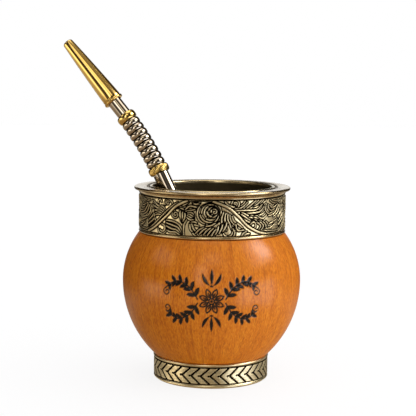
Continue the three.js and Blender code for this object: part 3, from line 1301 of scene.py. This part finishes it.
@dataclass
class Collar:
    """The brass collar: a bead, a chased floral band, a cove and a flange.

    Attributes:
        bore: The inner radius round the wood.
        hole: The inner radius of the flange.
        band: The band's radius.
        bead: The lower bead's radius.
        bead_height: The lower bead's height.
        cove: The radius of the cove under the rim.
        cove_at: The height at which the cove starts.
        edge: The rounding of the rim's edge.
        flange: The height of the flange at the mouth.
        groove: The width of the groove under the band.
        seat_depth: How far behind the band's face its seat lies.
        band_depth: How thick the band is, a little less than that.
        repeats: How many times the drawing runs round the band.
        samples: The number of the drawing's samples along one repeat.
        body_steps: The number of steps round the body.
        band_steps: The number of steps round the band.
        band_rows: The number of rows up the band.
    """

    bore: float = 35.4
    hole: float = 32.15
    band: float = 37.15
    bead: float = 37.3
    bead_height: float = 1.75
    cove: float = 1.6
    cove_at: float = 95.0
    edge: float = 0.8
    flange: float = 98.2
    groove: float = 0.5
    seat_depth: float = 0.9
    band_depth: float = 0.8
    repeats: int = 3
    samples: int = 624
    body_steps: int = 240
    band_steps: int = 1080
    band_rows: int = 82

    def build(self) -> None:
        """Model and dress the collar's body and its chased band."""
        rim, low, _, _ = cad_size("collar")
        bottom, top = low + self.bead_height, self.cove_at
        body = Bench.turned("collar_body", self._body(rim, low, bottom, top), self.body_steps)
        self._blacken(body, bottom, top)
        dress(body, SPUN_BRASS, "antique_brass", "collar")
        band = Bench.turned("collar_band", self._band(bottom, top), self.band_steps, crease=70.0)
        Bench.emboss(band, self.chasing(bottom, top), self.band, self.band - 0.3)
        dress(band, CHASED_BRASS, "antique_brass")

    def _blacken(self, body: Object, bottom: float, top: float) -> None:
        """Darken the band's seat, with painted shade under the rim's edge and beside the liner's lip.

        Args:
            body: The collar's body.
            bottom: The height of the bead's top.
            top: The height at which the cove starts.
        """
        points = Bench.points(body)
        reach = Bench.reach(points)
        trough = (reach < self.band - 0.25) & (reach > self.bore + 0.3)
        black = trough & (points[:, 2] > bottom - 0.1) & (points[:, 2] < top + 0.1)
        # Painted shade in the gap between the flange and the liner's lip.
        painted_channel_shade = (reach < self.hole + 1.3) & (points[:, 2] > self.flange - 0.6)
        under_edge = self.cove_at + self.cove
        # A painted shadow line under the rim's rounded edge.
        painted_rim_shadow = (reach > self.band + 1.2) & (np.abs(points[:, 2] - under_edge - 0.15) < 0.3)
        Bench.store(body, "dark", np.select([black, painted_rim_shadow, painted_channel_shade], [1.0, 0.8, 0.6], 0.0))

    def _body(self, rim: float, low: float, bottom: float, top: float) -> Outline:
        """The closed outline of bead, cove and flange, with the band's seat between them.

        Args:
            rim: The collar's largest radius, at its rim.
            low: The height of the collar's underside.
            bottom: The height of the bead's top.
            top: The height at which the cove starts.

        Returns:
            The outline's points, as radius and height.
        """
        seat = self.band - self.seat_depth
        half = self.bead_height / 2
        under = self.flange - 1.5
        edge_height = self.cove_at + self.cove + self.edge
        # The flange steps down beside the liner's lip, and its underside faces the wood's top.
        return [
            (self.bore, low),
            *arc(self.bead - half, low + half, half, -90, 66, 9),
            (self.band - 0.35, bottom + 0.1), (seat, bottom + 0.12),
            (seat, top - 0.12), (self.band - 0.35, top - 0.1),
            *arc(self.band + self.cove, self.cove_at, self.cove, 180, 90, 8),
            *arc(rim - self.edge, edge_height, self.edge, -90, 90, 10),
            (rim - 2.4, self.flange - 0.05), (self.hole + 1.5, self.flange - 0.1),
            (self.hole + 1.1, self.flange - 0.4), (self.hole, self.flange - 0.45), (self.hole, under),
            (self.bore, under), (self.bore, low),
        ]

    def _band(self, bottom: float, top: float) -> Outline:
        """The closed outline of the band that carries the chasing.

        Args:
            bottom: The height of the bead's top.
            top: The height at which the cove starts.

        Returns:
            The outline's points, as radius and height.
        """
        # The groove over the band is wider than the one under it.
        low, high = bottom + self.groove, top - 1.8 * self.groove
        back = self.band - self.band_depth
        return [
            (back, low - 0.15), (self.band - 0.3, low - 0.15), (self.band - 0.05, low),
            *[(self.band, z) for z in spaced(low + 0.12, high - 0.12, self.band_rows)],
            (self.band - 0.05, high), (self.band - 0.3, high + 0.15), (back, high + 0.15),
            (back, low - 0.15),
        ]

    def chasing(self, bottom: float, top: float) -> Relief:
        """One repeat of the floral drawing, as a strip that runs round the band.

        Args:
            bottom: The height of the bead's top.
            top: The height at which the cove starts.

        Returns:
            The strip.
        """
        low, high = bottom + self.groove, top - self.groove
        length = math.tau * self.band / self.repeats
        relief = Relief(-length / 2, low, length, high - low, pitch=length / self.samples)
        FloralRepeat(Chaser(relief, bottom + 0.2)).draw()
        return relief


@dataclass
class Straw:
    """The metal drinking straw: tube, ridged grip, two rings and a cone mouthpiece.

    Lengths run along its middle line, up from where that line passes the height of the lip.

    Attributes:
        crossing: Where the middle line passes the height of the lip.
        heading: The direction that it leans in, in degrees anticlockwise from +X.
        lower_lean: The lean of its lower part from upright, in degrees.
        upper_lean: The lean of its upper part.
        bend: Where the bend starts and ends.
        foot: Where the tube starts.
        rings: Where the middles of the two rings are.
        mouthpiece: Where the mouthpiece starts.
        tip: Where it ends.
        lower_tube: The radius of the tube below the grip.
        upper_tube: The radius of the tube above it.
        bore: The radius of the tube's bore.
        tube_in: How far the tube reaches into the mouthpiece.
        socket_depth: The depth of the mouthpiece's socket.
        ring_radii: The outer radii of the two rings.
        ring_half: Half the length of a ring.
        grip: The radius of the grip's grooves.
        ridge: How far a ridge bulges, from a radius just over that of the grooves.
        ridges: The number of the grip's ridges.
    """

    crossing: tuple[float, float, float] = (-24.19, 8.5, 98.3)
    heading: float = 164.2
    lower_lean: float = 26.9
    upper_lean: float = 40.6
    bend: Point = (6.4, 42.7)
    foot: float = -92.1
    rings: Point = (7.9, 39.7)
    mouthpiece: float = 50.3
    tip: float = 90.7
    lower_tube: float = 4.1
    upper_tube: float = 3.65
    bore: float = 2.9
    tube_in: float = 11.7
    socket_depth: float = 12.0
    ring_radii: Point = (5.5, 5.2)
    ring_half: float = 2.0
    grip: float = 4.1
    ridge: float = 0.75
    ridges: int = 8

    def place(self, piece: Object) -> None:
        """Bend a piece that was turned about +Z along the straw, and set it in the cup.

        Args:
            piece: The piece, whose heights are lengths along the straw.
        """
        points = Bench.points(piece)
        start, end = self.bend
        low, high = math.radians(self.lower_lean), math.radians(self.upper_lean)
        length = points[:, 2]
        bent = np.clip(length, start, end) - start
        lean = low + (high - low) * bent / (end - start)
        curve = (end - start) / (high - low)
        under, over = np.minimum(length, start), np.maximum(length, end) - end
        along_x = under * math.sin(low) + curve * (math.cos(low) - np.cos(lean)) + over * math.sin(high)
        along_z = under * math.cos(low) + curve * (np.sin(lean) - math.sin(low)) + over * math.cos(high)
        points[:, 2] = along_z - points[:, 0] * np.sin(lean)
        points[:, 0] = along_x + points[:, 0] * np.cos(lean)
        Bench.move_points(piece, points)
        turn = Matrix.Rotation(math.radians(self.heading), 4, "Z")
        piece.data.transform(Matrix.Translation(Vector(self.crossing) * MM) @ turn)
        Bench.smooth(piece)

    def build(self) -> None:
        """Model and dress every piece of the straw."""
        for make, finish, slot, node in [
            (self._tube, POLISHED_STAINLESS, "polished_steel", "straw_tube"),
            (self._grip, POLISHED_STAINLESS, "polished_steel", "straw_grip"),
            (self._lower_ring, POLISHED_GOLD, "gold_plate", "straw_ring_lower"),
            (self._upper_ring, POLISHED_GOLD, "gold_plate", "straw_ring_upper"),
            (self._mouthpiece, POLISHED_GOLD, "gold_plate", "straw_mouthpiece"),
        ]:
            piece = make()
            self.place(piece)
            dress(piece, finish, slot, node)

    def _tube(self) -> Object:
        """The hollow tube, which steps down to its upper size inside the lower ring.

        Returns:
            The tube, upright about +Z.
        """
        start, end = self.bend
        step = self.rings[0]
        top = self.mouthpiece + self.tube_in
        outline = [
            (self.bore, self.foot), (self.lower_tube - 0.3, self.foot), (self.lower_tube, self.foot + 0.3),
            *[(self.lower_tube, s) for s in spaced(-60.0, start, 6)],
            (self.lower_tube, step), (self.upper_tube, step + 0.3),
            *[(self.upper_tube, s) for s in spaced(step + 2.0, end, 14)],
            (self.upper_tube, top), (self.bore, top),
            *[(self.bore, s) for s in spaced(end, start, 14)],
            (self.bore, self.foot),
        ]
        return Bench.turned("straw_tube_steel", outline, 64)

    def _grip(self) -> Object:
        """The sleeve over the bend: rounded ridges, with painted shade in the grooves.

        Returns:
            The sleeve, upright about +Z.
        """
        clear = 2.2  # From a ring's middle to the sleeve's end.
        low, high = self.rings[0] + clear, self.rings[1] - clear
        pitch = (high - low) / self.ridges
        inside = self.upper_tube + 0.3
        outline = [(inside, low), (self.grip, low)]
        dark = []
        for start in spaced(low, high - pitch, self.ridges - 1):
            outline += arc(4.2, start + 0.5 * pitch, self.ridge, -82, 82, 16, 0.45 * pitch)
            dark.append(start)
        outline += [(self.grip, high), (inside, high)]
        outline += [(inside, s) for s in spaced(high, low, 12)[1:]]
        piece = Bench.turned("straw_grip_ridged", outline, 72, crease=60.0)
        points = Bench.points(piece)
        # Painted shade darkens the grooves between the ridges.
        away = np.abs(points[:, 2][:, None] - np.array([*dark, high])).min(axis=1)
        Bench.store(piece, "dark", 1.0 - smoothstep(0.25, 0.45, away))
        return piece

    def _ring(self, name: str, middle: float, radius: float, tube: float, steps: int) -> Object:
        """A rounded ring on the tube.

        Args:
            name: The piece's name.
            middle: Where its middle is along the straw.
            radius: Its outer radius.
            tube: The radius of the tube in it.
            steps: The number of steps round it.

        Returns:
            The piece, upright about +Z.
        """
        half, bore = self.ring_half, tube + 0.25
        shoulder = bore + 0.35
        outline = [
            (bore, middle - half), *arc(shoulder, middle, radius - shoulder, -90, 90, 24, half),
            (bore, middle + half), (bore, middle - half),
        ]
        return Bench.turned(name, outline, steps, crease=60.0)

    def _upper_ring(self) -> Object:
        """The smooth ring under the mouthpiece."""
        return self._ring("straw_ring_smooth", self.rings[1], self.ring_radii[1], self.upper_tube, 72)

    def _lower_ring(self) -> Object:
        """The ring at the grip's foot, with fine slanting cuts darkened by painted shade.

        Returns:
            The ring, upright about +Z.
        """
        piece = self._ring("straw_ring_cut", self.rings[0], self.ring_radii[0], self.lower_tube, 288)
        points = Bench.points(piece)
        reach = Bench.reach(points)
        angle = np.arctan2(points[:, 1], points[:, 0])
        away = points[:, 2] - self.rings[0]
        cuts, slant = 36, 2.1
        wave = np.cos(cuts * angle + slant * away * 2.0)
        outer = smoothstep(self.lower_tube + 0.6, self.lower_tube + 1.0, reach)
        face = outer * (1 - smoothstep(0.9, 1.5, np.abs(away)))
        deep = face * smoothstep(0.1, 0.9, wave)
        points[:, :2] *= (1.0 - 0.13 * deep / reach)[:, None]
        Bench.move_points(piece, points)
        # Painted shade darkens the cuts.
        Bench.store(piece, "dark", 0.45 * deep)
        return piece

    def _mouthpiece(self) -> Object:
        """The cone mouthpiece with a bead at its base and a rounded tip.

        Returns:
            The mouthpiece, upright about +Z.
        """
        base, tip = self.mouthpiece, self.tip
        bead, cone, narrow, round_tip = 0.8, 4.95, 2.75, 1.2
        socket, sip = self.upper_tube + 0.3, 1.5
        start, run = base + 2.5, tip - round_tip - base - 2.5
        side = [
            (cone + (narrow - cone) * t + 0.6 * t * (1 - t), start + run * t)
            for t in spaced(0.1, 0.9, 8)
        ]
        deep = base + self.socket_depth
        outline = [
            (socket, base), *arc(5.35 - bead, base + bead, bead, -90, 70, 9),
            (cone - 0.12, base + 1.72), (cone - 0.02, base + 2.0), (cone, start), *side,
            *arc(narrow - round_tip, tip - round_tip, round_tip, 4, 90, 7),
            (sip, tip), (sip, tip - 6.0), (sip, (base + tip) / 2), (sip, deep),
            (socket, deep), (socket, base),
        ]
        return Bench.turned("straw_cone_gold", outline, 80, crease=50.0)


@dataclass(frozen=True)
class Softbox:
    """A soft patch of light in the surroundings, or a dark one where its strength is near 0.

    Attributes:
        azimuth: Its direction in degrees from the front, towards +X.
        elevation: The height of its middle in degrees.
        width: Half its width in degrees.
        height: Half its height in degrees.
        strength: Its brightness.
        colour: Its colour.
        blur: The width of its soft edge in degrees.
    """

    azimuth: float
    elevation: float
    width: float
    height: float
    strength: float
    colour: str = "#fff8ee"
    blur: float = 8.0


@dataclass
class Studio:
    """The pale floor, the soft surroundings and the camera at the photograph's angle.

    Attributes:
        distance: The camera's distance in front of the cup's axis, in millimetres.
        height: The camera's height.
        aside: The camera's place along X.
        pitch: How far it looks down, in degrees.
        roll: How far it is rolled anticlockwise, in degrees.
        lens: Its focal length for a 36 mm sensor.
        floor_glow: The light that the floor gives off itself, like a lit white sheet.
        floor_colour: The floor's own colour.
        fill: The even light on what doesn't shine.
        fill_colour: Its colour.
        slope: How the even light grows towards +X, +Y and +Z.
        room: The colour of the room that shining pieces mirror, by elevation in degrees.
        boxes: The soft patches, each laid over those before it.
    """

    distance: float = 608.7
    height: float = 154.43
    aside: float = -2.12
    pitch: float = 6.3435
    roll: float = 0.55
    lens: float = 104.0
    floor_glow: float = 0.84
    floor_colour: str = "#6e6e6f"
    fill: float = 0.87
    fill_colour: str = WHITE
    slope: tuple[float, float, float] = (0.66, -0.14, 0.22)
    room: tuple[tuple[float, str], ...] = (
        (-90.0, "#94785a"), (-28.0, "#a08c74"), (-14.0, "#ece2d0"), (-5.0, "#b8ac98"),
        (3.0, "#3a322a"), (44.0, "#382f26"), (55.0, "#948874"), (90.0, "#938b80"),
    )
    boxes: tuple[Softbox, ...] = (
        Softbox(180.0, 10.0, 75.0, 24.0, 0.05, "#f0dcc8", 12.0),  # Dark, behind the cup.
        Softbox(180.0, 8.0, 18.0, 8.0, 1.15, "#f2f5fa"),  # A pale opening in it.
        Softbox(0.0, 90.0, 400.0, 24.0, 2.0),  # Overhead, all round.
        Softbox(-77.0, 30.0, 18.0, 9.0, 1.3, blur=12.0),  # High at the left.
        Softbox(-68.0, -8.0, 26.0, 6.0, 2.6, "#fff0d8", 10.0),  # Low at the left, warm.
        Softbox(4.0, -12.0, 24.0, 12.0, 0.3, "#ffe2b8", 12.0),  # Low in front, dim.
        Softbox(60.0, -9.0, 26.0, 12.0, 2.7, "#f6f8ff"),  # Low at the right, cool.
        Softbox(-44.0, -8.0, 10.0, 9.0, 0.05, blur=12.0),  # Dark, between left and front.
        Softbox(-14.0, 16.0, 7.0, 14.0, 2.8, blur=12.0),  # Upright, left of the camera.
        Softbox(22.0, 30.0, 12.0, 12.0, 0.12, blur=10.0),  # Dark, above the camera's right.
        Softbox(0.0, 40.0, 14.0, 8.0, 1.8, "#fff4d8", 12.0),  # High over the camera.
        Softbox(78.0, 37.0, 20.0, 16.0, 2.4),  # High at the right.
        Softbox(87.0, 37.0, 12.0, 10.0, 12.0, blur=12.0),  # Its bright core.
    )

    def camera(self) -> None:
        """Place the camera."""
        data = bpy.data.cameras.new("camera")
        data.lens, data.sensor_width = self.lens, 36.0
        data.clip_start, data.clip_end = 0.01, 20.0
        made = bpy.data.objects.new("camera", data)
        bpy.context.scene.collection.objects.link(made)
        pitch, roll = math.radians(self.pitch), math.radians(self.roll)
        ahead = Vector((0.0, math.cos(pitch), -math.sin(pitch)))
        level, upright = Vector((1.0, 0.0, 0.0)), Vector((0.0, math.sin(pitch), math.cos(pitch)))
        right = level * math.cos(roll) + upright * math.sin(roll)
        up = upright * math.cos(roll) - level * math.sin(roll)
        turn = Matrix((right, up, -ahead)).transposed().to_4x4()
        eye = Vector((self.aside, -self.distance, self.height)) * MM
        made.matrix_world = Matrix.Translation(eye) @ turn
        bpy.context.scene.camera = made

    def floor(self) -> None:
        """Lay the plain pale floor."""
        bpy.ops.object.select_all(action="DESELECT")
        bpy.ops.mesh.primitive_plane_add(size=6.0, location=(0.0, 0.0, 0.0))
        made = bpy.context.object
        made.name = "floor"
        material, tree, shader = new_material("pale_floor")
        connect(tree, shader, {
            "Base Color": linear(self.floor_colour), "Roughness": 0.9, "Specular IOR Level": 0.1,
            "Emission Color": linear(WHITE), "Emission Strength": self.floor_glow,
        })
        made.data.materials.append(material)
        made.visible_glossy = made.visible_diffuse = False

    def surroundings(self) -> None:
        """Light the scene: soft boxes for what shines, an even room for the rest, white behind."""
        world = bpy.data.worlds.new("studio")
        bpy.context.scene.world = world
        world.use_nodes = True
        world.cycles.sampling_method = "NONE"
        tree = world.node_tree
        tree.nodes.clear()
        place = add(tree, "ShaderNodeTexCoord").outputs["Generated"]
        even = add(tree, "ShaderNodeVectorMath", {"operation": "DOT_PRODUCT"}, {0: place, 1: self.slope})
        fill = add(tree, "ShaderNodeMath", {"operation": "ADD"}, {0: even.outputs["Value"], 1: self.fill})
        shining, filling, backdrop = [
            add(tree, "ShaderNodeBackground", None, {"Color": colour, "Strength": strength}).outputs[0]
            for colour, strength in [
                (self._mirrored(tree, place), 1.0),
                (linear(self.fill_colour), fill.outputs[0]),
                (linear(WHITE), 1.0),
            ]
        ]
        ray = add(tree, "ShaderNodeLightPath").outputs
        lit = add(tree, "ShaderNodeMixShader", None, {0: ray["Is Diffuse Ray"], 1: shining, 2: filling})
        mixed = add(tree, "ShaderNodeMixShader", None, {
            0: ray["Is Camera Ray"], 1: lit.outputs[0], 2: backdrop,
        })
        add(tree, "ShaderNodeOutputWorld", None, {"Surface": mixed.outputs[0]})

    def _mirrored(self, tree: NodeTree, place: NodeSocket) -> NodeSocket:
        """What shining pieces mirror: the room by elevation, with the soft patches over it.

        Args:
            tree: The world's node tree.
            place: The socket of the direction.

        Returns:
            The socket of the colour.
        """
        way = add(tree, "ShaderNodeSeparateXYZ", None, {0: place})
        behind = add(tree, "ShaderNodeMath", {"operation": "MULTIPLY"}, {0: way.outputs["Y"], 1: -1.0})
        azimuth = add(tree, "ShaderNodeMath", {"operation": "ARCTAN2"}, {
            0: way.outputs["X"], 1: behind.outputs[0],
        })
        elevation = add(tree, "ShaderNodeMath", {"operation": "ARCSINE"}, {0: way.outputs["Z"]})
        height = add(tree, "ShaderNodeMapRange", None, {
            "Value": elevation.outputs[0], "From Min": -math.pi / 2, "From Max": math.pi / 2,
        })
        shine = add(tree, "ShaderNodeValToRGB", {
            "ramp": [((90.0 + level) / 180.0, colour) for level, colour in self.room],
        }, {"Fac": height.outputs[0]}).outputs[0]
        for box in self.boxes:
            shine = self._lit(tree, shine, azimuth.outputs[0], elevation.outputs[0], box)
        return shine

    @staticmethod
    def _lit(
        tree: NodeTree,
        below: NodeSocket,
        azimuth: NodeSocket,
        elevation: NodeSocket,
        box: Softbox,
    ) -> NodeSocket:
        """Add one soft box's light to the surroundings.

        Args:
            tree: The world's node tree.
            below: The colour so far.
            azimuth: The socket of the direction's azimuth.
            elevation: The socket of its elevation.
            box: The soft box.

        Returns:
            The colour with the box's light.
        """
        shares = []
        soft = box.blur / 2
        sides = [(azimuth, box.azimuth, box.width), (elevation, box.elevation, box.height)]
        for angle, middle, half in sides:
            away = add(tree, "ShaderNodeMath", {"operation": "SUBTRACT"}, {
                0: angle, 1: math.radians(middle),
            })
            near = add(tree, "ShaderNodeMath", {"operation": "WRAP"}, {
                0: away.outputs[0], 1: math.pi, 2: -math.pi,
            })
            size = add(tree, "ShaderNodeMath", {"operation": "ABSOLUTE"}, {0: near.outputs[0]})
            shares.append(add(tree, "ShaderNodeMapRange", {"interpolation_type": "SMOOTHSTEP"}, {
                "Value": size.outputs[0], "To Min": 1.0, "To Max": 0.0,
                "From Min": math.radians(half - soft), "From Max": math.radians(half + soft),
            }).outputs[0])
        share = add(tree, "ShaderNodeMath", {"operation": "MULTIPLY"}, {0: shares[0], 1: shares[1]})
        light = tuple(part * box.strength for part in linear(box.colour)[:3]) + (1.0,)
        return add(tree, "ShaderNodeMix", {"data_type": "RGBA"}, {
            0: share.outputs[0], 6: below, 7: light,
        }).outputs[2]

    def build(self) -> None:
        """Set up the whole studio."""
        self.floor()
        self.surroundings()
        self.camera()
        bpy.context.scene.view_settings.view_transform = "Standard"


def main() -> None:
    """Build the cup and its straw, then the studio."""
    logging.basicConfig(level=logging.INFO, format="%(message)s")
    for part in (FootRing(), WoodCup(), Liner(), Collar(), Straw()):
        part.build()
    Studio().build()


if __name__ == "__main__":
    main()
